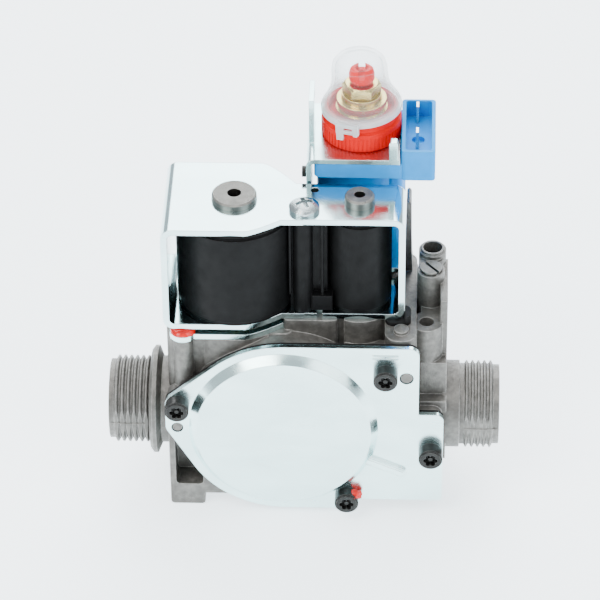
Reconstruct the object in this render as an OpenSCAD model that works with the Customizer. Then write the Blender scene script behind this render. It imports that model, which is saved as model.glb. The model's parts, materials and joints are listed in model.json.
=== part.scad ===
// Servo-regulated gas valve with two shut-off solenoids and a current modulator.
// Millimetres. Gas flows along +X, the cover plate faces -Y, the solenoids stand on +Z.
// The origin is the centre of the inlet port's end face. Shapes are drawn about the
// middle of the port axis, and from_inlet() moves each one into that frame.

/* [Ports] */
// Reach of the inlet port from the middle of the body
inlet_reach = 58.7; // [58:0.1:60]
// Reach of the outlet port from the middle of the body
outlet_reach = 59.2; // [58:0.1:60]
// Crest diameter of the G 3/4 port threads
thread_od = 26.44; // [26.3:0.01:26.5]
// Thread pitch (14 threads per inch)
thread_pitch = 1.814; // [1.814:0.001:1.815]
// Depth from thread crest to root
thread_depth = 1.16; // [1.0:0.01:1.2]
// Bore of both ports
port_bore = 19; // [17:0.5:20]
// Diameter of the collar on the inlet port
collar_d = 32.8; // [31:0.1:34]

/* [Body casting] */
// Left face of the casting
body_left = -40.5; // [-41:0.1:-40]
// Right face of the casting
body_right = 43.1; // [42.8:0.1:43.4]
// Front face of the main block
body_front = -11.8; // [-12:0.1:-11.5]
// Front face of the foot and of the lower body
foot_front = -13.8; // [-14.2:0.1:-13.4]
// Rear face of the main block
body_back = 20; // [19:0.5:22]
// Height of the feet below the port axis
foot_z = -30; // [-31:0.1:-30]
// Top of the casting under the flange plate
body_top = 32.6; // [32:0.1:33]
// Top of the casting on the right
deck_z = 35; // [34.8:0.1:35]

/* [Cover plate] */
// Thickness of the pressed cover plate
plate_t = 1.6; // [1.5:0.1:1.8]
// Front face of the flat part of the cover plate
plate_front = -17; // [-17.2:0.1:-16.8]
// How far the pressed disc stands proud
disc_rise = 2.5; // [2:0.1:3]
// Foot radius of the pressed disc
disc_r = 28.5; // [28:0.1:29]
// Thickness of the rubber diaphragm rim
rubber_t = 0.8; // [0.8:0.1:1]
// Head diameter of the cover screws
screw_head_d = 7.2; // [6.8:0.1:7.6]
// Head height of the cover screws
screw_head_h = 4.1; // [3.6:0.1:4.4]

/* [Solenoids] */
// Thickness of the yoke strip
yoke_t = 1.9; // [1.7:0.1:2]
// Underside of the yoke
yoke_bottom = 36.3; // [36.2:0.1:36.5]
// Top face of the yoke
yoke_top = 72.5; // [72:0.1:73]
// Winding diameter of the first coil
coil_1_d = 35; // [34:0.1:35.5]
// Winding diameter of the second coil
coil_2_d = 19.2; // [18.5:0.1:19.6]
// Opening stroke of the first plunger
stroke_1 = 3; // [2.5:0.1:3]
// Opening stroke of the second plunger
stroke_2 = 2; // [1.5:0.1:2]

/* [Modulator] */
// Front plane of the modulator bracket and coil top
modulator_front = 13; // [13:0.1:13.2]
// Top of the modulator bracket
bracket_top = 80.6; // [80:0.1:81]
// Diameter of the red ring nut
ring_d = 23.8; // [23.4:0.1:24]
// Height of the knurled part of the ring nut
ring_h = 6.4; // [6:0.1:7]
// Height of the clear cap's rim above the bracket
cap_lift = 8.7; // [8.5:0.1:9]
// Lean of the clear cap to the left, in degrees
cap_lean = 3; // [0:0.5:3]

/* [Hidden] */
$fn = 72;

crest_r = thread_od / 2;
root_r = crest_r - thread_depth;
bore_r = port_bore / 2;
neck_r = 13.2;
collar_r = collar_d / 2;
collar_left = -46.2;
collar_w = 3.4;
inlet_bore_end = -38;
filter_seat = -42;
filter_r = bore_r + 0.5;
outlet_bore_end = 21;

// Pressed disc of the cover plate and everything coaxial with it
disc_c = [-5.6, 2.8];
outline_r = 31;
plate_back = plate_front + plate_t;
rim_front = plate_back + rubber_t;
rim_r = 29.5;
rim_back = -6.8;
chamber_r = 25;
plate_screws = [[-37.3, 11.5], [24.95, 24.3], [38.7, -5.4], [13.45, -23.3]];
screw_reach = 6.5;
locating_pins = [[-37.5, 2.7, 1.8], [31.2, 22.8, 2.1]];
ear_top = plate_screws[0];
ear_low = [-37.3, 3.2];
step_z = 9;
deck_right = 33.9;
column_left = 35.2;
lower_z = -25.7;
shelf_front = -9.5;
plate_right = 42.4;
plate_step = 34.9;
plate_top = 33.9;
plate_bottom = -24.5;

// Solenoid axes, in X and Y
ev1 = [-20.1, 4.4];
ev2 = [16.7, 3.3];
yoke_left = -41;
yoke_right = 30.3;
yoke_bend = 3.5;
yoke_screw_at = [0.6, -0.6];
yoke_inside = yoke_bottom + yoke_t;
yoke_under_top = yoke_top - yoke_t;
tube_1_r = 7.5;
tube_2_r = 4.8;
tube_wall = 0.4;
seat_flange_r = 14.2;
pin_fit = 0.08;
pole_1_r = 6.6;
pole_2_r = 4.4;
pole_1_top = 74.5;
pole_2_top = 75.3;
pole_1_end = 56;
pole_2_end = 57.2;
seat_1_z = 14;
seat_2_z = 16;
seat_main_y = 1;
main_disc_t = 3;
spring_end_y = 14;
stroke_main = 3;
seal_h = 3.6;
flange_plate_t = 1.9;
flange_top = body_top + flange_plate_t;
flange_screw_at = [[-35.4, -10], [-37, 18.9], [-10.2, 18.2]];

// Modulator axis, in X and Y
mod_c = [16.7, 28.5];
bracket_t = 1.5;
bracket_under = bracket_top - bracket_t;
bracket_low = 39.8;
coil_blue_r = 13.9;
coil_blue_low = bracket_low + bracket_t;
coil_head_low = 74.2;
brass_r = 7.7;
nut_low = 94.6;
nut_top = 98;
ear_top_z = 103;
tube_m_r = 6;
core_r = 4;
knurl_top = bracket_top + ring_h;
lip_top = bracket_top + 9.4;
lip_r = 11;
cap_low = bracket_top + cap_lift;
connector_top = 83.9;
connector_low = 73.8;
pocket_floor = 78.3;
terminal_y = [23.9, 37.4];
terminal_w = 2.8;
terminal_x = 33.3;
terminal_t = 0.8;

// Right-hand column
boss_c = [36.9, -3.2];
boss_r = 4.8;
boss_low = 21.8;
boss_top = 33.7;
screw_c = [38, 7.5];
screw_top = 46.5;
nipple_c = [38.4, 16];
nipple_r = 4.1;
nipple_bore_r = 2.9;
nipple_top = 47.1;

aluminium = [0.60, 0.59, 0.57];
zinc = [0.86, 0.91, 0.92];
blackened = [0.22, 0.22, 0.21];
moulding = [0.16, 0.16, 0.16];
steel = [0.64, 0.63, 0.61];
rubber = [0.08, 0.08, 0.08];
brass = [0.86, 0.78, 0.52];
blue = [0.35, 0.70, 0.92];
red = [0.90, 0.20, 0.13];

// ---------- shared shapes ----------

module from_inlet() {
    translate([inlet_reach, 0, 0]) children();
}

// Cylinder from (x0) to (x1) along the port axis
module x_cylinder(x0, x1, r) {
    translate([x0, 0, 0]) rotate([0, 90, 0]) cylinder(r = r, h = x1 - x0);
}

module z_cylinder(at, z0, z1, r) {
    translate([at.x, at.y, z0]) cylinder(r = r, h = z1 - z0);
}

// Cylinder along Y about a point given in X and Z
module y_cylinder(at, y0, y1, r) {
    translate([at.x, y1, at.y]) rotate([90, 0, 0]) cylinder(r = r, h = y1 - y0);
}

module block(low, high) {
    translate(low) cube(high - low);
}

// Outline in X and Z, given a thickness along Y
module upright(y0, y1) {
    translate([0, y1, 0]) rotate([90, 0, 0]) linear_extrude(y1 - y0) children();
}

// Outline in X and Y, given a height along Z
module flat(z0, z1) {
    translate([0, 0, z0]) linear_extrude(z1 - z0) children();
}

function polar(c, r, a) = [c.x + r * cos(a), c.y + r * sin(a)];

// Two circles joined by their outer tangents
module belt(c1, r1, c2, r2) {
    along = atan2(c2.y - c1.y, c2.x - c1.x);
    spread = acos((r1 - r2) / norm(c2 - c1));
    translate(c1) circle(r1);
    translate(c2) circle(r2);
    polygon([
        polar(c1, r1, along + spread), polar(c2, r2, along + spread),
        polar(c2, r2, along - spread), polar(c1, r1, along - spread)]);
}

module rounded(low, high, r) {
    translate([low.x + r, low.y]) square([high.x - low.x - 2 * r, high.y - low.y]);
    translate([low.x, low.y + r]) square([high.x - low.x, high.y - low.y - 2 * r]);
    for (x = [low.x + r, high.x - r], y = [low.y + r, high.y - r])
        translate([x, y]) circle(r);
}

// Helical compression spring as a swept six-sided wire
module coil_spring(r, wire, length, turns) {
    steps = 12;
    sides = 6;
    rings = turns * steps;
    rise = (length - 2 * wire) / rings;
    points = [for (i = [0 : rings], k = [0 : sides - 1])
        let (a = i * 360 / steps, b = k * 360 / sides, d = r + wire * cos(b))
        [d * cos(a), d * sin(a), wire + i * rise + wire * sin(b)]];
    walls = [for (i = [0 : rings - 1], k = [0 : sides - 1])
        let (n = (k + 1) % sides)
        [i * sides + k, (i + 1) * sides + k, (i + 1) * sides + n, i * sides + n]];
    start = [for (k = [0 : sides - 1]) k];
    finish = [for (k = [sides - 1 : -1 : 0]) rings * sides + k];
    polyhedron(points, concat(walls, [start, finish]), convexity = 10);
}

// ---------- body casting ----------

// Thread crests from x0 on, in steps of one pitch, cut back at the parting line
module thread_crests(x0, count) {
    land = 0.35;
    flank = 0.62;
    crest_relief = 0.85;
    difference() {
        for (i = [0 : count - 1])
            translate([x0 + i * thread_pitch, 0, 0]) rotate([0, 90, 0])
                rotate_extrude() polygon([
                    [root_r - 1, -flank - land], [root_r, -flank - land / 2],
                    [crest_r, -land / 2], [crest_r, land / 2],
                    [root_r, flank + land / 2], [root_r - 1, flank + land]]);
        for (side = [-1, 1])
            translate([0, side * crest_r, 0])
                cube([2 * outlet_reach + 2, 2 * crest_relief, 2 * crest_r], center = true);
    }
}

module inlet_port() {
    x_cylinder(-inlet_reach, collar_left + 0.1, root_r);
    thread_crests(-56.4, 6);
    // the collar's back slopes down to the neck
    translate([collar_left, 0, 0]) rotate([0, 90, 0]) rotate_extrude() polygon([
        [0, 0], [collar_r - 1.2, 0], [collar_r, 0.9], [collar_r, 2.1],
        [neck_r, collar_w], [0, collar_w]]);
    x_cylinder(collar_left + 0.5, body_left + 1, neck_r);
}

module outlet_port() {
    land_end = 47.2;
    x_cylinder(body_right - 1, land_end, crest_r);
    x_cylinder(land_end - 0.2, outlet_reach, root_r);
    x_cylinder(land_end - 0.2, outlet_reach - 2.2, root_r + 0.25);
    thread_crests(49.3, 5);
}

// Rim that clamps the diaphragm, with the ears round the screws and pins
module clamping_rim() {
    y_cylinder(disc_c, rim_front, rim_back, rim_r);
    upright(rim_front, body_front + 1) {
        belt(ear_top, 3.3, ear_low, 3.3);
        belt([ear_low.x, 8], 3.3, disc_c, 26);
        belt([13.4, -22], 4, disc_c, 20);
        rounded([12, plate_bottom + 0.6], [plate_right - 0.6, step_z - 0.4], 3);
    }
}

module main_block() {
    block([body_left, body_front, -12], [body_right, body_back, 10]);
    block([-31, foot_front, lower_z], [body_right - 2, body_back, -10]);
    flat(-12, body_top) rounded([body_left, -8.6], [-3, body_back + 2], 2.5);
    // flat wall under the flange plate, right of the ear's boss
    block([-33, shelf_front, 5], [-10, 0, body_top]);
    z_cylinder(ev1, -10, body_top, 16.6);
    flat(8, yoke_bottom) rounded([-5.5, rim_back], [10.3, 12.4], 1);
    flat(8, deck_z) rounded([2, -4], [deck_right, 29.5], 4);
    // boss under the ear of the flange plate
    z_cylinder(flange_screw_at[0], 8, body_top, 2.9);
}

// Deck corner on the front right, with the small peg that stands on it
module deck_corner() {
    block([8, rim_front, 0], [deck_right, -5, 22]);
    block([12.6, rim_front, 21], [deck_right, -5, 28]);
    flat(20, deck_z) rounded([24.6, rim_front], [deck_right, 6], 4);
    z_cylinder(ev2, 20, yoke_bottom - 0.1, 10.5);
    z_cylinder([29.4, -9.8], deck_z - 1, 36.1, 2.2);
}

// Foot with a deep core pocket, on the left
module foot() {
    upright(foot_front, 12) rounded([body_left, foot_z], [-29.9, 0], 1.2);
}

module foot_pocket() {
    upright(foot_front - 1, -5.8) rounded([-38.7, -22.2], [-30.4, -9.5], 1.2);
    upright(foot_front - 1, -10.3) rounded([-38.7, -20], [-30.4, -3], 1.2);
}

// Base rim: the machined face that the valve stands on
module base_rim() {
    difference() {
        flat(foot_z, lower_z + 0.7) rounded([body_left + 4, -8.5], [body_right - 1, 36], 5);
        flat(foot_z - 1, lower_z - 0.7) rounded([body_left + 12, -3], [body_right - 8, 28], 3);
    }
}

// Housing of the servo diaphragm under the modulator
module servo_housing() {
    z_cylinder(mod_c, 4, deck_z, 15.8);
    flat(4, 30) rounded([3, 10], [30.4, 30], 3);
    z_cylinder(mod_c, -28, 5, 9);
    flat(-28, 5) rounded([9, 10], [24.4, 30], 2);
    for (side = [-1, 1])
        z_cylinder([mod_c.x + side * 14.5, mod_c.y + 9], 8, 24, 3);
}

// Column of the pressure test point, the vent nipple and the screw boss
module right_column() {
    block([column_left, -8, -3], [body_right, 20, boss_low]);
    flat(10, boss_top) translate([boss_c.x, boss_c.y]) circle(boss_r);
    flat(10, boss_top) translate([column_left, boss_c.y]) square([6, 10]);
    z_cylinder(screw_c, 10, screw_top - 1.4, 4.1);
    flat(10, screw_top - 1.4) translate([screw_c.x - 3.6, screw_c.y]) square([7.2, 5.6]);
    z_cylinder(nipple_c, 10, nipple_top - 0.7, nipple_r);
    z_cylinder(nipple_c, 10, nipple_top, nipple_r - 0.6);
    // flat rib down the right-hand side
    block([41, -4, 10], [body_right, 17, 42]);
    // post that steadies the modulator bracket
    upright(20, 27) polygon([
        [29.6, 30], [32.6, 30], [32.1, 44], [31.9, 60.2], [31.4, 61], [30.9, 61],
        [30.5, 60.2], [30.2, 44]]);
}

// Gas way: inlet, riser, first seat, main seat and outlet
module gas_way() {
    x_cylinder(-inlet_reach - 1, filter_seat, bore_r);
    x_cylinder(filter_seat - 0.1, inlet_bore_end, filter_r);
    x_cylinder(outlet_bore_end, outlet_reach + 1, bore_r);
    block([-38, -3, -6], [-31, 13, 29]);
    block([-31.5, -3, seat_1_z + 3], [-26, 13, 29]);
    z_cylinder(ev1, seat_1_z, body_top + 1, 12.5);
    z_cylinder(ev1, -8, seat_1_z + 0.1, 6);
    z_cylinder(ev1, -8, 8, 8);
    block([-16, 2, -6], [-10, 10, 8]);
    y_cylinder(disc_c, seat_main_y, 14, 10);
    y_cylinder(disc_c, -3, seat_main_y + 1, 6);
    y_cylinder(disc_c, rim_front - 1, -2, 9);
    y_cylinder(disc_c, rim_front - 1, -8, chamber_r);
    block([-2, -8, -6], [10, -3, 8]);
    block([8, -8, -7], [outlet_bore_end + 0.5, 6, 8]);
}

module solenoid_bores() {
    z_cylinder(ev1, 30, body_top + 1, seat_flange_r);
    z_cylinder(ev2, seat_2_z, yoke_bottom + 1, 7);
    z_cylinder(ev2, 34, yoke_bottom + 1, 8.6);
    z_cylinder(ev2, 4, seat_2_z + 0.1, 2.5);
}

module servo_bores() {
    // annular recess round the modulator boss
    difference() {
        z_cylinder(mod_c, 30, 50, 14.6);
        z_cylinder(mod_c, 29, 50, 11.5);
    }
    z_cylinder(mod_c, 18, 50, tube_m_r);
    z_cylinder(mod_c, 11, 18.1, 10.5);
    z_cylinder(mod_c, -8, 12, 2);
    y_cylinder([mod_c.x, -8], 0, mod_c.y, 2);
}

// Deep slot between the front boss and the boss of the second solenoid
module boss_slot() {
    block([10.3, rim_front - 1, 18], [12.4, -5, yoke_bottom]);
}

module column_bores() {
    z_cylinder(boss_c, 26, boss_top + 1, 2.2);
    z_cylinder(nipple_c, 30, nipple_top + 1, nipple_bore_r);
    z_cylinder(screw_c, 34, screw_top, 2.05);
    z_cylinder(screw_c, screw_top - 2.1, screw_top + 1, 3.35);
}

module screw_holes() {
    for (at = plate_screws)
        y_cylinder(at, rim_front - 1, plate_front + screw_reach + 0.5, 1.7);
    for (at = flange_screw_at)
        z_cylinder(at, body_top - 8, body_top + 1, 1.6);
}

module valve_body() from_inlet() color(aluminium) {
    difference() {
        union() {
            inlet_port();
            outlet_port();
            clamping_rim();
            main_block();
            deck_corner();
            foot();
            base_rim();
            servo_housing();
            right_column();
            z_cylinder(mod_c, 29, bracket_low, 11.5);
            for (pin = locating_pins)
                y_cylinder(pin, rim_front - 2.2, rim_front + 1, pin.z - 0.35);
        }
        gas_way();
        solenoid_bores();
        servo_bores();
        column_bores();
        boss_slot();
        screw_holes();
        foot_pocket();
    }
}

module inlet_filter() from_inlet() color(steel) {
    difference() {
        x_cylinder(filter_seat + 0.6, filter_seat + 2.6, filter_r);
        x_cylinder(filter_seat, filter_seat + 2, bore_r - 1);
        for (y = [-3 : 3], z = [-3 : 3])
            if (norm([y, z]) < 3.3)
                translate([0, y * 2.3, z * 2.3])
                    x_cylinder(filter_seat + 1.5, filter_seat + 3, 0.85);
    }
}

// ---------- cover plate and main valve ----------

module plate_outline() {
    belt(disc_c, outline_r, ear_top, 3.7);
    belt(ear_top, 3.7, ear_low, 3.7);
    belt(ear_low, 3.7, disc_c, outline_r);
    belt(disc_c, outline_r, [12.6, -22.9], 5.4);
    rounded([-9, -12], [plate_step, plate_top], 3);
    rounded([8, plate_bottom + 6], [plate_right, step_z], 2.4);
    rounded([8, plate_bottom], [plate_right, 0], 1.2);
}

module plate_holes() {
    for (at = plate_screws)
        translate(at) circle(1.8);
    for (pin = locating_pins)
        translate([pin.x, pin.y]) circle(pin.z);
}

module cover_plate() from_inlet() color(zinc) {
    // the pressed disc is a shallow dish with sloped sides
    shoulder = 2.2;
    channel_end = [29.9, -13.1];
    difference() {
        union() {
            upright(plate_front, plate_back) difference() {
                plate_outline();
                plate_holes();
            }
            translate([disc_c.x, plate_front, disc_c.y]) rotate([90, 0, 0])
                cylinder(r1 = disc_r, r2 = disc_r - shoulder, h = disc_rise);
            // raised channel, stepped to round its shoulders: height and half width
            for (step = [[1.3, 0.7], [1.1, 1.2], [0.8, 1.6], [0.4, 1.85]])
                upright(plate_front - step[0], plate_front + 0.1) difference() {
                    belt([20, -8.6], step[1], channel_end, step[1]);
                    translate(disc_c) circle(disc_r - 0.9);
                }
            for (z = [29.8, 31])
                upright(plate_front - 0.2, plate_front + 0.1)
                    rounded([21, z], [28.8, z + 0.4], 0.19);
        }
        translate([disc_c.x, plate_back + 0.01, disc_c.y]) rotate([90, 0, 0])
            cylinder(r1 = disc_r - 1.2, r2 = disc_r - shoulder - 1.2, h = disc_rise);
    }
}

// Round head with a six-lobed socket and a centre pin
module tamper_screw(length) {
    lobe_r = 0.75;
    difference() {
        union() {
            cylinder(r = screw_head_d / 2 - 0.5, h = screw_head_h);
            cylinder(r = screw_head_d / 2, h = screw_head_h - 0.5);
        }
        difference() {
            translate([0, 0, screw_head_h - 2]) union() {
                cylinder(r = 1.55, h = 3);
                for (k = [0 : 5])
                    rotate([0, 0, k * 60]) translate([1.45, 0, 0])
                        cylinder(r = lobe_r, h = 3);
            }
            cylinder(r = 0.65, h = screw_head_h - 0.6);
        }
    }
    translate([0, 0, -length]) cylinder(r = 1.7, h = length + 0.1);
}

module cover_screws() from_inlet() color(blackened) {
    for (at = plate_screws)
        translate([at.x, plate_front, at.y]) rotate([90, 0, 0]) tamper_screw(screw_reach);
}

module main_diaphragm() from_inlet() color(rubber) {
    upright(plate_back, rim_front) difference() {
        plate_outline();
        plate_holes();
        translate(disc_c) circle(chamber_r - 0.6);
    }
    // rolling convolution, drawn at rest
    translate([disc_c.x, rim_front, disc_c.y]) rotate([90, 0, 0]) rotate_extrude()
        difference() {
            translate([21, 0]) circle(3.9, $fn = 40);
            translate([21, 0]) circle(3.1, $fn = 40);
            translate([10, 0]) square([20, 5]);
        }
}

module diaphragm_plate() from_inlet() color(steel) {
    difference() {
        union() {
            y_cylinder(disc_c, rim_front - 1.2, rim_front + 0.3, 16.4);
            y_cylinder(disc_c, rim_front, rim_front + 2.5, 4);
        }
        y_cylinder(disc_c, -30, 0, 2);
    }
}

module main_stem() from_inlet() color(steel) {
    y_cylinder(disc_c, rim_front - 1.2, seat_main_y + main_disc_t + 1.5, 2);
}

module main_disc() from_inlet() color(rubber) {
    difference() {
        y_cylinder(disc_c, seat_main_y, seat_main_y + main_disc_t, 8.2);
        y_cylinder(disc_c, seat_main_y - 1, seat_main_y + main_disc_t + 1, 2);
    }
}

// Drawn at the length it has when the valve is fully open, and carried by the disc
module main_spring() from_inlet() color(steel) {
    start = seat_main_y + main_disc_t;
    translate([disc_c.x, start, disc_c.y]) rotate([-90, 0, 0])
        coil_spring(5.5, 0.5, spring_end_y - stroke_main - 0.1 - start, 5);
}

// ---------- solenoids ----------

// Plan of the yoke and of the flange plate: wide at the first coil, narrow at the second
module strip_plan(right) {
    wide = [-12, 22.4];
    narrow = [-6.1, 12.2];
    x0 = -16.6;
    x1 = -6.2;
    steps = 10;
    ease = function (t) pow(t, 1.35);
    polygon(concat(
        [[yoke_left, wide[1]], [yoke_left, wide[0]]],
        [for (i = [0 : steps]) let (t = i / steps)
            [x0 + t * (x1 - x0), wide[0] + ease(t) * (narrow[0] - wide[0])]],
        [[right, narrow[0]], [right, narrow[1]]],
        [for (i = [steps : -1 : 0]) let (t = i / steps)
            [x0 + 4 + t * (x1 - x0), wide[1] + ease(t) * (narrow[1] - wide[1])]]));
}

module flange_plate() from_inlet() color(zinc) {
    flat(body_top, flange_top) difference() {
        union() {
            difference() {
                strip_plan(-5.6);
                translate([yoke_left - 1, -13]) square([3, 40]);
            }
            translate(flange_screw_at[0]) circle(3.9);
            translate([flange_screw_at[0].x - 3.9, -10]) square([3, 32.4]);
        }
        translate(ev1) circle(tube_1_r);
        for (at = flange_screw_at)
            translate(at) circle(1.7);
    }
}

module flange_screws() from_inlet() color(red) {
    for (at = flange_screw_at) {
        z_cylinder(at, flange_top, yoke_bottom - 0.15, 3.5);
        z_cylinder(at, body_top - 7, flange_top + 0.1, 1.6);
    }
}

module yoke() from_inlet() color(zinc) {
    difference() {
        intersection() {
            upright(-20, 30) difference() {
                rounded([yoke_left, yoke_bottom], [yoke_right, yoke_top], yoke_bend);
                rounded([yoke_left + yoke_t, yoke_inside],
                        [yoke_right - yoke_t, yoke_under_top], yoke_bend - yoke_t);
            }
            flat(yoke_bottom - 1, yoke_top + 1) difference() {
                strip_plan(yoke_right);
                // small jog in the front edge, between the two coils
                translate([0.4, -8]) square([40, 2.2]);
            }
        }
        z_cylinder(ev1, yoke_under_top - 1, yoke_top + 1, pole_1_r);
        z_cylinder(ev2, yoke_under_top - 1, yoke_top + 1, pole_2_r);
        z_cylinder(ev1, yoke_bottom - 1, yoke_inside + 1, tube_1_r);
        z_cylinder(ev2, yoke_bottom - 1, yoke_inside + 1, tube_2_r);
        z_cylinder(yoke_screw_at, yoke_under_top - 1, yoke_top + 1, 2.1);
        z_cylinder([3.4, 9.1], yoke_under_top - 1, yoke_top + 1, 1.2);
        block([4.3, -8, yoke_bottom - 1], [5.9, -3.5, yoke_inside + 1]);
    }
}

module yoke_screw() from_inlet() color(zinc) {
    translate([yoke_screw_at.x, yoke_screw_at.y, yoke_top]) {
        difference() {
            intersection() {
                cylinder(r = 4.5, h = 3);
                translate([0, 0, -4]) sphere(r = 6.9);
            }
            for (turn = [0, 90])
                rotate([0, 0, turn + 20]) translate([-2.6, -0.65, 1.2]) cube([5.2, 1.3, 3]);
        }
        translate([0, 0, -12]) cylinder(r = 2, h = 12.1);
    }
}

// Over-moulded winding between the two legs of the yoke
module winding(at, r, bore) {
    difference() {
        union() {
            z_cylinder(at, yoke_inside + 1.4, yoke_under_top - 1.2, r);
            z_cylinder(at, yoke_inside, yoke_inside + 1.5, r - 0.7);
            z_cylinder(at, yoke_under_top - 1.3, yoke_under_top, r - 0.7);
        }
        z_cylinder(at, yoke_inside - 1, yoke_under_top + 1, bore);
    }
}

module coil_1() from_inlet() color(moulding) {
    winding(ev1, coil_1_d / 2, tube_1_r);
}

module coil_2() from_inlet() color(moulding) {
    winding(ev2, coil_2_d / 2, tube_2_r);
}

module coil_1_space() {
    z_cylinder(ev1, yoke_inside - 1, yoke_under_top + 1, coil_1_d / 2);
}

// Moulded terminal housing between the two windings
module coil_bridge() from_inlet() color(moulding) {
    difference() {
        union() {
            flat(yoke_inside, yoke_under_top) {
                translate([0.2, -2.6]) circle(2.9);
                rounded([-4, -2.4], [7.6, 11], 0.8);
            }
            for (x = [-4, 5.5])
                flat(yoke_inside + 6, yoke_under_top - 1) rounded([x, -4.4], [x + 0.8, 2], 0.3);
            flat(yoke_inside + 0.8, yoke_inside + 6) rounded([2.6, -5.2], [9, 2], 0.6);
        }
        coil_1_space();
        z_cylinder(ev2, yoke_inside - 1, yoke_under_top + 1, coil_2_d / 2);
        z_cylinder(yoke_screw_at, yoke_under_top - 10.1, yoke_under_top + 1, 2);
    }
}

module guide_tube(at, r, z0, z1, flange_r, flange_h) {
    difference() {
        union() {
            z_cylinder(at, z0, z1, r);
            z_cylinder(at, z0, z0 + flange_h, flange_r);
        }
        z_cylinder(at, z0 - 1, z1 + 1, r - tube_wall);
    }
}

module guide_tube_1() from_inlet() color(brass) {
    guide_tube(ev1, tube_1_r, 31, yoke_under_top, seat_flange_r, body_top - 31);
}

module guide_tube_2() from_inlet() color(brass) {
    guide_tube(ev2, tube_2_r, 35, yoke_under_top, 8.5, yoke_bottom - 0.1 - 35);
}

module ring_seal(at, z0, z1, outer, inner) {
    difference() {
        z_cylinder(at, z0, z1, outer);
        z_cylinder(at, z0 - 1, z1 + 1, inner);
    }
}

module tube_seal_1() from_inlet() color(rubber) {
    ring_seal(ev1, 30, 31, seat_flange_r, 12.6);
}

module tube_seal_2() from_inlet() color(rubber) {
    ring_seal(ev2, 34, 35, 8.5, 7);
}

// Fixed pole with a chamfered head and a tapped hole
module pole_piece(at, low, inner_r, neck_r, top, hole_r, chamfer) {
    difference() {
        union() {
            z_cylinder(at, low, yoke_under_top, inner_r);
            z_cylinder(at, yoke_under_top - 0.1, top - chamfer, neck_r);
            translate([at.x, at.y, top - chamfer])
                cylinder(r1 = neck_r, r2 = neck_r - chamfer, h = chamfer);
        }
        z_cylinder(at, top - 9, top + 1, hole_r);
    }
}

module pole_piece_1() from_inlet() color(steel) {
    pole_piece(ev1, pole_1_end, tube_1_r - tube_wall, pole_1_r, pole_1_top, 2.1, 0.5);
}

module pole_piece_2() from_inlet() color(steel) {
    pole_piece(ev2, pole_2_end, tube_2_r - tube_wall, pole_2_r, pole_2_top, 1.65, 0.5);
}

// Moving core, bored from above for its return spring
module plunger(at, z0, z1, r, spring_r, spring_low) {
    difference() {
        z_cylinder(at, z0, z1, r);
        z_cylinder(at, spring_low, z1 + 1, spring_r);
    }
}

module plunger_1() from_inlet() color(steel) {
    plunger(ev1, seat_1_z + seal_h, pole_1_end - stroke_1 - 0.2,
            tube_1_r - tube_wall - pin_fit, 3.6, 38);
}

module plunger_2() from_inlet() color(steel) {
    plunger(ev2, seat_2_z + seal_h, pole_2_end - stroke_2 - 0.2,
            tube_2_r - tube_wall - pin_fit, 2.4, 40);
}

module plunger_seal_1() from_inlet() color(rubber) {
    z_cylinder(ev1, seat_1_z, seat_1_z + seal_h, 8);
}

module plunger_seal_2() from_inlet() color(rubber) {
    z_cylinder(ev2, seat_2_z, seat_2_z + seal_h, 4.2);
}

module plunger_spring_1() from_inlet() color(steel) {
    translate([ev1.x, ev1.y, 38]) coil_spring(2.8, 0.4, pole_1_end - 38, 7);
}

module plunger_spring_2() from_inlet() color(steel) {
    translate([ev2.x, ev2.y, 40]) coil_spring(1.8, 0.3, pole_2_end - 40, 7);
}

// Rubber pad under the second coil, round the end of the yoke
module coil_2_base() from_inlet() color(rubber) {
    flat(deck_z, yoke_bottom - 0.1) difference() {
        rounded([24.6, -7.4], [32.2, -0.8], 2.4);
        translate(ev2) circle(10.5);
    }
    flat(yoke_bottom - 0.1, 38) difference() {
        rounded([24.6, -7.4], [32.2, -0.8], 2.4);
        translate([10, -9]) square([yoke_right - 10, 12]);
    }
}

// ---------- modulator ----------

module modulator_coil() from_inlet() color(blue) {
    difference() {
        union() {
            z_cylinder(mod_c, coil_blue_low, coil_head_low + 1, coil_blue_r - 0.6);
            z_cylinder(mod_c, coil_blue_low, coil_blue_low + 3, coil_blue_r);
            flat(coil_head_low, bracket_under)
                rounded([3, modulator_front + 0.1], [30, 41.8], 2);
            flat(connector_low, connector_top)
                rounded([28.7, modulator_front - 0.2], [38.7, 40.4], 1.2);
            // spine that carries the leads down the right of the winding
            flat(coil_blue_low, connector_low + 1) rounded([24, 18], [29.3, 39], 2);
        }
        z_cylinder(mod_c, coil_blue_low - 1, bracket_under + 1, tube_m_r + 0.6);
        flat(pocket_floor, connector_top + 1) rounded([29.9, 14], [37.6, 39.6], 0.9);
        for (y = terminal_y)
            block([terminal_x - terminal_t / 2, y - terminal_w / 2, pocket_floor - 2],
                  [terminal_x + terminal_t / 2, y + terminal_w / 2, pocket_floor + 1]);
        // round sink behind the front terminal
        z_cylinder([terminal_x + 0.3, terminal_y[0] + 3.4], pocket_floor - 1.4,
                   pocket_floor + 1, 1.9);
    }
}

module modulator_terminals() from_inlet() color(steel) {
    for (y = terminal_y)
        difference() {
            block([terminal_x - terminal_t / 2, y - terminal_w / 2, pocket_floor - 2],
                  [terminal_x + terminal_t / 2, y + terminal_w / 2, connector_top + 0.3]);
            translate([32, y, connector_top - 2]) rotate([0, 90, 0])
                cylinder(r = 0.6, h = 3);
        }
}

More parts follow.
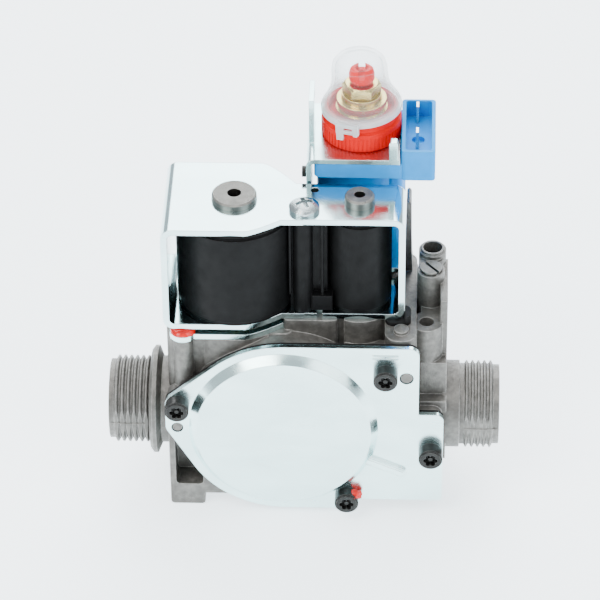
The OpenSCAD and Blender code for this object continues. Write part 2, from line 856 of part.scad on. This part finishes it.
module modulator_bracket() from_inlet() color(zinc) {
    back = 42.6;
    left = 0.7;
    right = 28.3;
    difference() {
        union() {
            upright(modulator_front, back) difference() {
                rounded([left, bracket_low], [right + 6, bracket_top], 2.4);
                rounded([left + bracket_t, coil_blue_low], [right + 8, bracket_under], 0.9);
                translate([right, bracket_low - 1]) square([10, 60]);
            }
            // tall tab at the rear left and short tab at the front right
            block([1.3, 22, bracket_top - 0.1], [2.8, 33, 95.3]);
            upright(modulator_front, modulator_front + 2.6)
                rounded([25.1, bracket_under], [27.7, 86.9], 0.7);
        }
        z_cylinder(mod_c, bracket_low - 1, bracket_top + 1, tube_m_r);
        translate([0, 29.6, 92.6]) rotate([0, 90, 0]) cylinder(r = 1.2, h = 5);
    }
}

module bracket_rivet() from_inlet() color(blackened) {
    translate([-0.6, 15.6, 74.6]) rotate([0, 90, 0]) cylinder(r = 1.7, h = 1.3);
}

// Threaded brass sleeve of the modulator, with stepped shoulders under the nut
module modulator_tube() from_inlet() color(brass) {
    difference() {
        union() {
            z_cylinder(mod_c, 19, 84, tube_m_r);
            z_cylinder(mod_c, 83, 89.8, brass_r);
            z_cylinder(mod_c, 89.7, 91.2, 7.1);
            z_cylinder(mod_c, 91.1, 92.6, 7.4);
            z_cylinder(mod_c, 92.5, nut_low - 0.1, 6.1);
        }
        z_cylinder(mod_c, 18, 86, core_r + 0.08);
        z_cylinder(mod_c, 85, nut_low + 1, 3.6);
    }
}

module modulator_core() from_inlet() color(steel) {
    z_cylinder(mod_c, 46, 66, core_r);
    z_cylinder(mod_c, 18, 47, 1.5);
}

module regulator_spring() from_inlet() color(steel) {
    translate([mod_c.x, mod_c.y, 66]) coil_spring(2.6, 0.45, 14, 6);
}

module servo_diaphragm() from_inlet() color(rubber) {
    ring_seal(mod_c, 14, 15, 10.5, 3.9);
}

// Pad under the push rod, which closes the bleed drilling
module servo_pad() from_inlet() color(rubber) {
    z_cylinder(mod_c, 13.2, 18, 3.5);
}

module ring_nut() from_inlet() color(red) {
    r = ring_d / 2;
    ribs = 60;
    rib = 0.3;
    difference() {
        union() {
            z_cylinder(mod_c, bracket_top, knurl_top, r - 2 * rib);
            z_cylinder(mod_c, bracket_top + rib, knurl_top - rib, r - rib);
            z_cylinder(mod_c, knurl_top - 2, knurl_top - rib, r - 0.05);
            z_cylinder(mod_c, bracket_top, lip_top, lip_r);
            for (k = [0 : ribs - 1])
                translate([mod_c.x, mod_c.y, bracket_top + 0.5])
                    rotate([0, 0, k * 360 / ribs]) translate([r - 2 * rib, -rib, 0])
                        cube([2 * rib, 2 * rib, ring_h - 2]);
        }
        z_cylinder(mod_c, bracket_top - 1, lip_top + 1, brass_r);
        z_cylinder(mod_c, lip_top - 2.4, lip_top + 1, lip_r - 1.3);
    }
}

// Hexagonal brass adjuster for the highest outlet pressure, with a chamfered top
module max_nut() from_inlet() color(brass) {
    across_flats = 10;
    corner_r = across_flats / 2 / cos(30);
    difference() {
        union() {
            translate([mod_c.x, mod_c.y, nut_low]) intersection() {
                cylinder(r = corner_r, h = nut_top - nut_low, $fn = 6);
                rotate_extrude() polygon([
                    [0, 0], [corner_r + 0.1, 0], [corner_r + 0.1, 2.6],
                    [across_flats / 2 - 0.3, nut_top - nut_low],
                    [0, nut_top - nut_low]]);
            }
            z_cylinder(mod_c, 82, nut_low + 0.1, 3.55);
        }
        z_cylinder(mod_c, 84, nut_top + 1, 2.4);
    }
}

// Red plastic screw for the lowest outlet pressure: a cup with two ears and a slot
module min_screw() from_inlet() color(red) {
    head_low = nut_top + 0.1;
    bowl_r = 3.8;
    difference() {
        union() {
            translate([mod_c.x, mod_c.y, head_low]) rotate_extrude() polygon([
                [0, 0], [bowl_r - 1.1, 0], [bowl_r - 0.35, 0.5], [bowl_r, 1.3],
                [bowl_r, 3], [bowl_r - 0.3, 4.2], [bowl_r - 1.1, ear_top_z - head_low],
                [0, ear_top_z - head_low]]);
            z_cylinder(mod_c, 85, head_low + 0.1, 2.34);
        }
        // slot between the ears, and the hollow behind them
        translate([mod_c.x - 0.95, mod_c.y - 5, ear_top_z - 2.2]) cube([1.9, 10, 5]);
        z_cylinder(mod_c, ear_top_z - 2.8, ear_top_z + 1, 1.9);
    }
}

// Clear protective cap: its rim clips round the lip of the ring nut, a little askew
module clear_cap() from_inlet() color([0.93, 0.96, 0.97, 0.35]) {
    rim = 12;
    outside = [
        [rim, 0], [rim, 1.4], [11.5, 2.4], [10.4, 4], [9.1, 6.8], [8.5, 9.2], [8.3, 11.6],
        [8.25, 13.8], [7.8, 15.6], [6.7, 16.9], [4.6, 17.5], [4.1, 17.7], [0, 17.7]];
    inside = [
        [0, 16.7], [4.2, 16.6], [6.1, 16.1], [7, 15.1], [7.3, 13.6], [7.35, 11.5],
        [7.6, 9], [8.2, 6.5], [9.5, 3.6], [10.6, 2.1], [11.3, 1.5], [11.3, 0]];
    latch_r = 12.2;
    translate([mod_c.x, mod_c.y, cap_low]) rotate([0, -cap_lean, 0]) {
        rotate_extrude() polygon(concat(outside, inside));
        // latch with two legs that reaches down over the ring nut
        rotate([0, 0, -108]) {
            difference() {
                translate([latch_r, -3.5, -1.4]) cube([1, 7, 3.8]);
                translate([latch_r - 1, -1.2, -0.5]) cube([3, 2.8, 1.1]);
            }
            translate([latch_r, -3.4, -3.7]) cube([1, 2, 2.6]);
            translate([latch_r, 1.8, -1.9]) cube([1, 1.2, 1]);
            translate([rim - 1.2, -3.5, 1.2]) cube([1.9, 7, 0.9]);
        }
    }
}

// Sealing screw of the pressure test point
module test_screw() from_inlet() color([0.55, 0.57, 0.55]) {
    difference() {
        union() {
            z_cylinder(screw_c, screw_top - 2.1, screw_top - 0.4, 3.25);
            z_cylinder(screw_c, 35, screw_top - 2, 1.97);
        }
        translate([screw_c.x, screw_c.y, screw_top - 1.4]) rotate([0, 0, -51])
            translate([-4, -0.5, 0]) cube([8, 1, 3]);
    }
}

// ---------- nodes ----------

valve_body();
inlet_filter();
cover_plate();
cover_screws();
main_diaphragm();
diaphragm_plate();
main_stem();
main_disc();
main_spring();
flange_plate();
flange_screws();
yoke();
yoke_screw();
coil_1();
coil_2();
coil_bridge();
guide_tube_1();
guide_tube_2();
tube_seal_1();
tube_seal_2();
pole_piece_1();
pole_piece_2();
plunger_1();
plunger_2();
plunger_seal_1();
plunger_seal_2();
plunger_spring_1();
plunger_spring_2();
coil_2_base();
modulator_coil();
modulator_terminals();
modulator_bracket();
bracket_rivet();
modulator_tube();
modulator_core();
regulator_spring();
servo_diaphragm();
servo_pad();
ring_nut();
max_nut();
min_screw();
clear_cap();
test_screw();
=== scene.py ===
"""Gas valve: looks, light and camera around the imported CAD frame. Metres, row frame."""
import json
import math

import bmesh
import bpy
from mathutils import Matrix, Vector, noise


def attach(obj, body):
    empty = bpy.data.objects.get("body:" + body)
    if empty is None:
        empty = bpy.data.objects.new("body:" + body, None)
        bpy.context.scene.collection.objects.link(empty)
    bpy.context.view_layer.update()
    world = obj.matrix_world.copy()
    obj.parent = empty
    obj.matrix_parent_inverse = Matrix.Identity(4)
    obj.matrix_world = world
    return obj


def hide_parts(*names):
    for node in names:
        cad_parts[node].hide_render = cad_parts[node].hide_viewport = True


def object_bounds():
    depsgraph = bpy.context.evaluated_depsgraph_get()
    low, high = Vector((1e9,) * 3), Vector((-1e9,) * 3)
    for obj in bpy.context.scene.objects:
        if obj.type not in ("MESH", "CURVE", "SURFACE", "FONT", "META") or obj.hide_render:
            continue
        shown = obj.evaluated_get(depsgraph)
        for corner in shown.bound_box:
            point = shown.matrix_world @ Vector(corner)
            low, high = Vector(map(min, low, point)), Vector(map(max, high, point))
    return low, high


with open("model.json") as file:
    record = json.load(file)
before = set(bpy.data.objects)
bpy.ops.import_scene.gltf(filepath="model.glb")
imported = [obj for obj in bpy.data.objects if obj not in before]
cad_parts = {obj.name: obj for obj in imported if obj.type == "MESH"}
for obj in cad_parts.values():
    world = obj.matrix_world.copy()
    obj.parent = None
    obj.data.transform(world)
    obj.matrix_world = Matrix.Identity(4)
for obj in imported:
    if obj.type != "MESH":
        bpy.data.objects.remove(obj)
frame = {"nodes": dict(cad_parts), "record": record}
cad_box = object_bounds()

MM = 0.001
INLET = 58.7  # the inlet face lies this far, in mm, from the middle of the body
mid_x = INLET * MM


def at(x, y, z):
    """A point given in mm about the middle of the body."""
    return Vector(((x + INLET) * MM, y * MM, z * MM))


# ---------- node materials ----------

class Graph:
    """Small helper that builds one node material."""

    def __init__(self, name):
        self.material = bpy.data.materials.new(name)
        self.material.use_nodes = True
        self.nodes = self.material.node_tree.nodes
        self.links = self.material.node_tree.links
        self.shader = self.nodes["Principled BSDF"]

    def add(self, kind, **settings):
        node = self.nodes.new(kind)
        for key, value in settings.items():
            setattr(node, key, value)
        return node

    def put(self, socket, value):
        if isinstance(value, bpy.types.NodeSocket):
            self.links.new(value, socket)
        else:
            socket.default_value = value

    def math(self, operation, a, b=0.0):
        node = self.add("ShaderNodeMath", operation=operation)
        self.put(node.inputs[0], a)
        self.put(node.inputs[1], b)
        return node.outputs[0]

    def coords(self, stretch=(1, 1, 1), centre=(0, 0, 0)):
        """Object coordinates in mm, about a centre given in metres."""
        tex = self.add("ShaderNodeTexCoord")
        mapping = self.add("ShaderNodeMapping")
        mapping.inputs["Location"].default_value = [
            -c * 1000 * s for c, s in zip(centre, stretch)]
        mapping.inputs["Scale"].default_value = [1000 * s for s in stretch]
        self.links.new(tex.outputs["Object"], mapping.inputs["Vector"])
        return mapping.outputs[0]

    def noise(self, size, detail=4, stretch=(1, 1, 1), rough=0.55):
        node = self.add("ShaderNodeTexNoise")
        self.links.new(self.coords(stretch), node.inputs["Vector"])
        node.inputs["Scale"].default_value = 1 / size
        node.inputs["Detail"].default_value = detail
        node.inputs["Roughness"].default_value = rough
        return node.outputs[0]

    def fit(self, value, low, high, to_low=0.0, to_high=1.0):
        node = self.add("ShaderNodeMapRange")
        self.put(node.inputs["Value"], value)
        for key, number in (("From Min", low), ("From Max", high),
                            ("To Min", to_low), ("To Max", to_high)):
            node.inputs[key].default_value = number
        return node.outputs[0]

    def mix(self, factor, a, b):
        node = self.add("ShaderNodeMix", data_type="RGBA")
        self.put(node.inputs[0], factor)
        self.put(node.inputs[6], (*a, 1) if isinstance(a, tuple) else a)
        self.put(node.inputs[7], (*b, 1) if isinstance(b, tuple) else b)
        return node.outputs[2]

    def edges(self, radius):
        """(mask of the edges: worn edges on most finishes, a painted edge highlight on the clear
        cap; normal with rounded edges).
        """
        bevel = self.add("ShaderNodeBevel", samples=6)
        bevel.inputs["Radius"].default_value = radius * MM
        geometry = self.add("ShaderNodeNewGeometry")
        dot = self.add("ShaderNodeVectorMath", operation="DOT_PRODUCT")
        self.links.new(bevel.outputs[0], dot.inputs[0])
        self.links.new(geometry.outputs["Normal"], dot.inputs[1])
        return self.fit(dot.outputs["Value"], 0.995, 0.86), bevel.outputs[0]


def surface(name, colour, rough, metal=0.0, grain=0.5, depth=0.03, mottle=6.0, spread=0.12,
            rough_spread=0.08, edge=None, wear=0.6, radius=0.35, stretch=(1, 1, 1), rings=None,
            pits=0.0, spots=None, coat=0.0, specular=0.5):
    """A material with mottled colour, uneven roughness, grain and worn, rounded edges."""
    g = Graph(name)
    dark = tuple(c * (1 - spread) for c in colour)
    light = tuple(min(1, c * (1 + spread)) for c in colour)
    base = g.mix(g.fit(g.noise(mottle, 5, stretch), 0.35, 0.65), dark, light)
    fine = g.noise(grain, 3, stretch, 0.7)
    if spots:
        patch = g.fit(g.noise(spots[0], 3), spots[1] - 0.1, spots[1] + 0.18)
        base = g.mix(patch, base, spots[2])
    mask, rounded = g.edges(radius)
    if edge:
        worn = g.math("MULTIPLY", mask, g.fit(g.noise(1.3, 3), 0.3, 0.62, 0.15, wear))
        base = g.mix(worn, base, edge)
    g.put(g.shader.inputs["Base Color"], base)
    g.put(g.shader.inputs["Roughness"],
          g.fit(g.noise(mottle * 0.45, 4, stretch), 0.3, 0.7, rough - rough_spread,
                rough + rough_spread))
    g.shader.inputs["Metallic"].default_value = metal
    g.shader.inputs["Specular IOR Level"].default_value = specular
    g.shader.inputs["Coat Weight"].default_value = coat
    g.shader.inputs["Coat Roughness"].default_value = 0.12
    height = fine
    if pits:
        cells = g.add("ShaderNodeTexVoronoi")
        g.links.new(g.coords(), cells.inputs["Vector"])
        cells.inputs["Scale"].default_value = 0.9
        height = g.math("ADD", height, g.math("MULTIPLY", cells.outputs["Distance"], pits))
    if rings:
        centre, direction, pitch, share = rings
        wave = g.add("ShaderNodeTexWave", wave_type="RINGS", rings_direction=direction)
        g.links.new(g.coords(centre=centre), wave.inputs["Vector"])
        wave.inputs["Scale"].default_value = 1 / pitch
        wave.inputs["Distortion"].default_value = 0.4
        height = g.math("ADD", height, g.math("MULTIPLY", wave.outputs["Fac"], share))
    bump = g.add("ShaderNodeBump")
    bump.inputs["Distance"].default_value = depth * MM
    bump.inputs["Strength"].default_value = 1.0
    g.put(bump.inputs["Height"], height)
    g.links.new(rounded, bump.inputs["Normal"])
    g.links.new(bump.outputs[0], g.shader.inputs["Normal"])
    return g.material


def clear_plastic(name):
    """Clear moulding: see-through face on, with a painted highlight that turns it whitish and
    opaque towards its outline, at its edges and on its skirt and rim; faintly scratched.
    """
    g = Graph(name)
    facing = g.add("ShaderNodeLayerWeight")
    facing.inputs["Blend"].default_value = 0.35
    # painted highlight: towards the outline the clear shader gives way to the whitish opaque one
    painted_outline_glow = g.fit(g.math("POWER", facing.outputs["Facing"], 2.6), 0, 1, 0.02, 1.0)
    mask, rounded = g.edges(0.3)
    scratches_and_painted_glow = g.fit(g.noise(0.5, 3, (6, 1, 1)), 0.62, 0.75, 0, 0.06)
    # painted highlight: the skirt and rim are mixed further towards the whitish opaque shader than
    # the dome, as a bright band
    split = g.add("ShaderNodeSeparateXYZ")
    g.links.new(g.coords(centre=at(16.7, 28.5, 90.2)), split.inputs[0])
    height = g.math("ADD", split.outputs["Z"], g.math("MULTIPLY", split.outputs["X"], -0.052))
    painted_rim_band = g.math("ADD", g.fit(height, 2.0, 0.6, 0, 0.42), g.fit(height, 6.5, 3.0, 0, 0.07))
    scratches_and_painted_glow = g.math("ADD", scratches_and_painted_glow, painted_rim_band)
    # painted highlight: the rounded edges of the cap are mixed towards the whitish opaque shader
    factor = g.math("MINIMUM", g.math("ADD", g.math("ADD", painted_outline_glow, scratches_and_painted_glow),
                                      g.math("MULTIPLY", mask, 0.75)), 0.95)
    bump = g.add("ShaderNodeBump")
    bump.inputs["Distance"].default_value = 0.02 * MM
    g.put(bump.inputs["Height"], g.noise(2.5, 2))
    g.links.new(rounded, bump.inputs["Normal"])
    g.links.new(bump.outputs[0], g.shader.inputs["Normal"])
    g.put(g.shader.inputs["Base Color"],
          g.mix(g.noise(3, 3), (0.62, 0.68, 0.70), (0.9, 0.94, 0.95)))
    g.put(g.shader.inputs["Roughness"], g.fit(g.noise(1.5, 3), 0.3, 0.7, 0.05, 0.14))
    clear = g.add("ShaderNodeBsdfTransparent")
    g.put(clear.inputs[0], g.mix(g.noise(4, 2), (0.96, 0.975, 0.98), (0.985, 0.99, 0.99)))
    mixer = g.add("ShaderNodeMixShader")
    g.put(mixer.inputs[0], factor)
    g.links.new(clear.outputs[0], mixer.inputs[1])
    g.links.new(g.shader.outputs[0], mixer.inputs[2])
    output = next(n for n in g.nodes if n.type == "OUTPUT_MATERIAL")
    g.links.new(mixer.outputs[0], output.inputs["Surface"])
    return g.material


aluminium = surface("cast_aluminium", (0.165, 0.159, 0.147), 0.44, 0.55, grain=0.5, depth=0.12,
                    mottle=2.2, spread=0.22, rough_spread=0.1, edge=(0.5, 0.49, 0.465),
                    wear=0.85, radius=0.5, pits=0.5,
                    spots=(5.0, 0.56, (0.115, 0.11, 0.101)), specular=0.35)
zinc = surface("zinc_plate", (0.68, 0.90, 0.90), 0.22, 1.0, grain=0.7, depth=0.012,
               mottle=9, spread=0.07, rough_spread=0.07, edge=(0.93, 0.96, 0.96), wear=0.7,
               radius=0.3, stretch=(0.35, 1, 1))
zinc_bright = surface("zinc_yoke", (0.64, 0.83, 0.85), 0.14, 1.0, grain=0.9, depth=0.008,
                      mottle=11, spread=0.05, rough_spread=0.05, edge=(0.95, 0.97, 0.97),
                      wear=0.8, radius=0.35, stretch=(0.4, 1, 1))
zinc_screw = surface("zinc_screw", (0.42, 0.48, 0.49), 0.2, 1.0, grain=0.4, depth=0.02,
                     edge=(0.85, 0.88, 0.88), radius=0.25,
                     rings=(at(0.6, -0.6, 72.5), "Z", 0.5, 0.5))
black_screw = surface("black_screw", (0.016, 0.016, 0.015), 0.34, 0.35, grain=0.35, depth=0.02,
                      mottle=2, spread=0.3, edge=(0.12, 0.12, 0.115), wear=0.8, radius=0.3,
                      specular=0.3)
lacquer = surface("red_lacquer", (0.66, 0.004, 0.002), 0.22, 0.0, grain=1.2, depth=0.12,
                  mottle=1.5, spread=0.25, edge=(0.6, 0.02, 0.012), coat=0.3,
                  specular=0.3)
coil_black = surface("coil_black", (0.004, 0.004, 0.0042), 0.45, 0.0, grain=0.3, depth=0.02,
                     mottle=5, spread=0.25, rough_spread=0.1, edge=(0.02, 0.02, 0.02),
                     wear=0.7, radius=0.4, specular=0.09)
steel = surface("steel", (0.24, 0.235, 0.22), 0.34, 1.0, grain=0.3, depth=0.02, mottle=3,
                edge=(0.62, 0.61, 0.59), radius=0.25)
pole_steel = {
    name: surface(f"turned_{name}", (0.20, 0.195, 0.18), 0.34, 1.0, grain=0.35, depth=0.03,
                  mottle=3, edge=(0.5, 0.49, 0.46), wear=0.9, radius=0.25,
                  rings=(at(*centre, 70), "Z", 0.32, 0.8))
    for name, centre in (("pole_piece_1", (-20.1, 4.4)), ("pole_piece_2", (16.7, 3.3)),
                         ("test_screw", (38, 7.5)))}
spring_steel = surface("spring_steel", (0.4, 0.4, 0.4), 0.3, 1.0, grain=0.2, depth=0.01,
                       edge=(0.7, 0.7, 0.7), radius=0.1)
rubber = surface("rubber", (0.006, 0.006, 0.006), 0.6, 0.0, grain=0.35, depth=0.03,
                 spread=0.3, edge=(0.02, 0.02, 0.02), specular=0.2)
brass = surface("brass", (0.72, 0.56, 0.22), 0.2, 1.0, grain=0.4, depth=0.015, mottle=3,
                spread=0.08, edge=(0.9, 0.78, 0.42), radius=0.3,
                rings=(at(16.7, 28.5, 90), "Z", 0.4, 0.4))
blue = surface("blue_plastic", (0.001, 0.27, 0.70), 0.4, 0.0, grain=0.3, depth=0.02, mottle=8,
               spread=0.08, edge=(0.05, 0.5, 0.9), wear=0.5, radius=0.4, specular=0.12)
red = surface("red_plastic", (0.74, 0.001, 0.0005), 0.38, 0.0, grain=0.3, depth=0.015, mottle=5,
              spread=0.08, edge=(0.9, 0.008, 0.004), wear=0.5, radius=0.2, specular=0.1)
clear = clear_plastic("clear_plastic")
tin = surface("terminal_tin", (0.66, 0.67, 0.67), 0.28, 1.0, grain=0.3, depth=0.02,
              edge=(0.9, 0.9, 0.9), radius=0.15, stretch=(1, 1, 0.3))

by_slot = {
    "cast_aluminium": aluminium, "zinc_plate": zinc, "zinc_screw": zinc_screw,
    "black_screw": black_screw, "red_lacquer": lacquer, "coil_black": coil_black,
    "steel": steel, "spring_steel": spring_steel, "rubber": rubber, "brass": brass,
    "blue_plastic": blue, "red_plastic": red, "clear_plastic": clear, "terminal_tin": tin}
special = {"yoke": zinc_bright, **pole_steel}
for part in frame["record"]["subparts"]:
    node = part["node"]
    cad = frame["nodes"][node]
    cad.data.materials.clear()
    cad.data.materials.append(special.get(node, by_slot[part["material_slot"]]))

# ---------- detail pieces ----------


def mesh_object(name, bm, material, body="root"):
    data = bpy.data.meshes.new(name)
    bm.normal_update()
    bm.to_mesh(data)
    bm.free()
    data.materials.append(material)
    for face in data.polygons:
        face.use_smooth = True
    data.set_sharp_from_angle(angle=math.radians(40))
    obj = bpy.data.objects.new(name, data)
    bpy.context.collection.objects.link(obj)
    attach(obj, body)
    return obj


def lathe(bm, profile, centre, steps=48, wobble=0.0, seed=0.0):
    """Closed turned solid about an upright axis. profile is [(r, z), ...] in mm, from the axis
    at the bottom to the axis at the top. wobble makes it uneven, like a hand-set drop."""
    rings = []
    for r, z in profile:
        if r == 0:
            rings.append([bm.verts.new(at(centre[0], centre[1], z))])
            continue
        ring = []
        for k in range(steps):
            a = 2 * math.pi * k / steps
            push = 1 + wobble * noise.noise((math.cos(a) * 1.3, math.sin(a) * 1.3, z + seed))
            ring.append(bm.verts.new(at(centre[0] + r * push * math.cos(a),
                                        centre[1] + r * push * math.sin(a), z)))
        rings.append(ring)
    for low, high in zip(rings, rings[1:]):
        for k in range(steps):
            n = (k + 1) % steps
            if len(low) == 1:
                bm.faces.new((low[0], high[n], high[k]))
            elif len(high) == 1:
                bm.faces.new((low[k], low[n], high[0]))
            else:
                bm.faces.new((low[k], low[n], high[n], high[k]))


def lacquered_heads():
    """Screw heads under a thick drop of sealing lacquer, on the flange plate."""
    bm = bmesh.new()
    for i, centre in enumerate(((-35.4, -10), (-37, 18.9), (-10.2, 18.2))):
        lathe(bm, [(0, 34.5), (3.4, 34.5), (3.85, 34.62), (3.8, 35.0), (3.45, 35.5),
                   (2.9, 35.9), (1.9, 36.1), (1.2, 36.14), (0.9, 35.95), (0, 35.9)],
              centre, 56, 0.16, i * 7.0)
    return mesh_object("lacquered_heads", bm, lacquer)


heads = lacquered_heads()
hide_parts("flange_screws")


def lacquer_drop():
    """Drop of sealing lacquer across the edge of the lowest cover screw."""
    bm = bmesh.new()
    bmesh.ops.create_icosphere(bm, subdivisions=4, radius=1)
    for v in bm.verts:
        swell = 1 + 0.28 * noise.noise(v.co * 1.6 + Vector((3, 1, 7)))
        p = Vector((v.co.x * 2.1, v.co.y * 1.9, v.co.z * 1.5)) * swell
        v.co = at(16.1 + p.x, max(-18.6 + p.y, -21.05), -21.3 + p.z)
    return mesh_object("lacquer_drop", bm, lacquer)


lacquer_drop()


def ridge(name, x0, x1, y, width, height):
    """Fine raised line along X, with a rounded crown and tapered ends."""
    bm = bmesh.new()
    section = [(-width, 0), (-width * 0.6, height * 0.8), (0, height), (width * 0.6, height * 0.8),
               (width, 0)]
    steps = 24
    rows = []
    for i in range(steps + 1):
        t = i / steps
        x = x0 + (x1 - x0) * t
        swell = min(1, 8 * t, 8 * (1 - t)) * 0.9 + 0.1
        shift = 0.06 * math.sin(9 * t)
        rows.append([bm.verts.new(at(x, y - h * swell, w * swell + shift))
                     for w, h in section])
    for a, b in zip(rows, rows[1:]):
        for k in range(len(section) - 1):
            bm.faces.new((a[k], b[k], b[k + 1], a[k + 1]))
        bm.faces.new((a[-1], b[-1], b[0], a[0]))
    bm.faces.new(rows[0])
    bm.faces.new(rows[-1][::-1])
    return mesh_object(name, bm, aluminium)


ridge("parting_line_inlet", -58.3, -46.4, -12.0, 0.3, 0.6)
ridge("parting_line_outlet", 47.6, 58.9, -12.0, 0.3, 0.6)

# ---------- camera ----------


def camera():
    azimuth, elevation, roll = math.radians(2.35), math.radians(37.5), math.radians(0.56)
    distance = 1.05
    aim = Vector((mid_x - 1.68 * MM, 18.62 * MM, 24.33 * MM))
    back = Vector((math.sin(azimuth) * math.cos(elevation),
                   -math.cos(azimuth) * math.cos(elevation), math.sin(elevation)))
    right = Vector((math.cos(azimuth), math.sin(azimuth), 0))
    up = back.cross(right)
    level = Matrix((right, up, back)).transposed().to_4x4()
    data = bpy.data.cameras.new("camera")
    data.sensor_width = 36
    data.lens = 206.7
    data.clip_start, data.clip_end = 0.05, 20
    obj = bpy.data.objects.new("camera", data)
    bpy.context.collection.objects.link(obj)
    obj.matrix_world = (Matrix.Translation(aim + back * distance) @ level
                        @ Matrix.Rotation(-roll, 4, "Z"))
    bpy.context.scene.camera = obj


camera()

# ---------- stage ----------


def floor():
    g = Graph("floor")
    g.put(g.shader.inputs["Base Color"],
          g.mix(g.noise(60, 3), (0.83, 0.86, 0.885), (0.85, 0.875, 0.90)))
    g.shader.inputs["Roughness"].default_value = 0.7
    g.shader.inputs["Emission Color"].default_value = (0.84, 0.945, 1.0, 1)
    g.shader.inputs["Emission Strength"].default_value = 2.3
    bm = bmesh.new()
    low = cad_box[0][2] - 0.0003
    corners = [bm.verts.new((mid_x + x, y, low))
               for x, y in ((-3, -3), (3, -3), (3, 3), (-3, 3))]
    bm.faces.new(corners)
    data = bpy.data.meshes.new("floor")
    bm.to_mesh(data)
    bm.free()
    data.materials.append(g.material)
    o = bpy.data.objects.new("floor", data)
    bpy.context.collection.objects.link(o)


floor()


def area(name, place, size, power, colour=(1, 1, 1), aim=(0.06, 0.005, 0.02)):
    data = bpy.data.lights.new(name, "AREA")
    data.size = size
    data.energy = power
    data.color = colour
    o = bpy.data.objects.new(name, data)
    bpy.context.collection.objects.link(o)
    o.location = place
    o.rotation_mode = "QUATERNION"
    o.rotation_quaternion = (Vector(aim) - Vector(place)).to_track_quat("-Z", "Y")


area("key", (-0.5, -0.6, 1.1), 0.7, 16, (1, 0.985, 0.96))
area("fill", (0.9, -0.6, 0.7), 0.8, 7, (0.95, 0.98, 1))
area("top", (0.06, 0.3, 1.3), 0.7, 9)
area("rear", (0.06, 1.5, 1.1), 1.8, 70, (0.94, 0.98, 1))
world = bpy.data.worlds.new("world")
bpy.context.scene.world = world
world.use_nodes = True
world.node_tree.nodes["Background"].inputs[0].default_value = (0.9, 0.95, 1.0, 1)
world.node_tree.nodes["Background"].inputs[1].default_value = 0.85
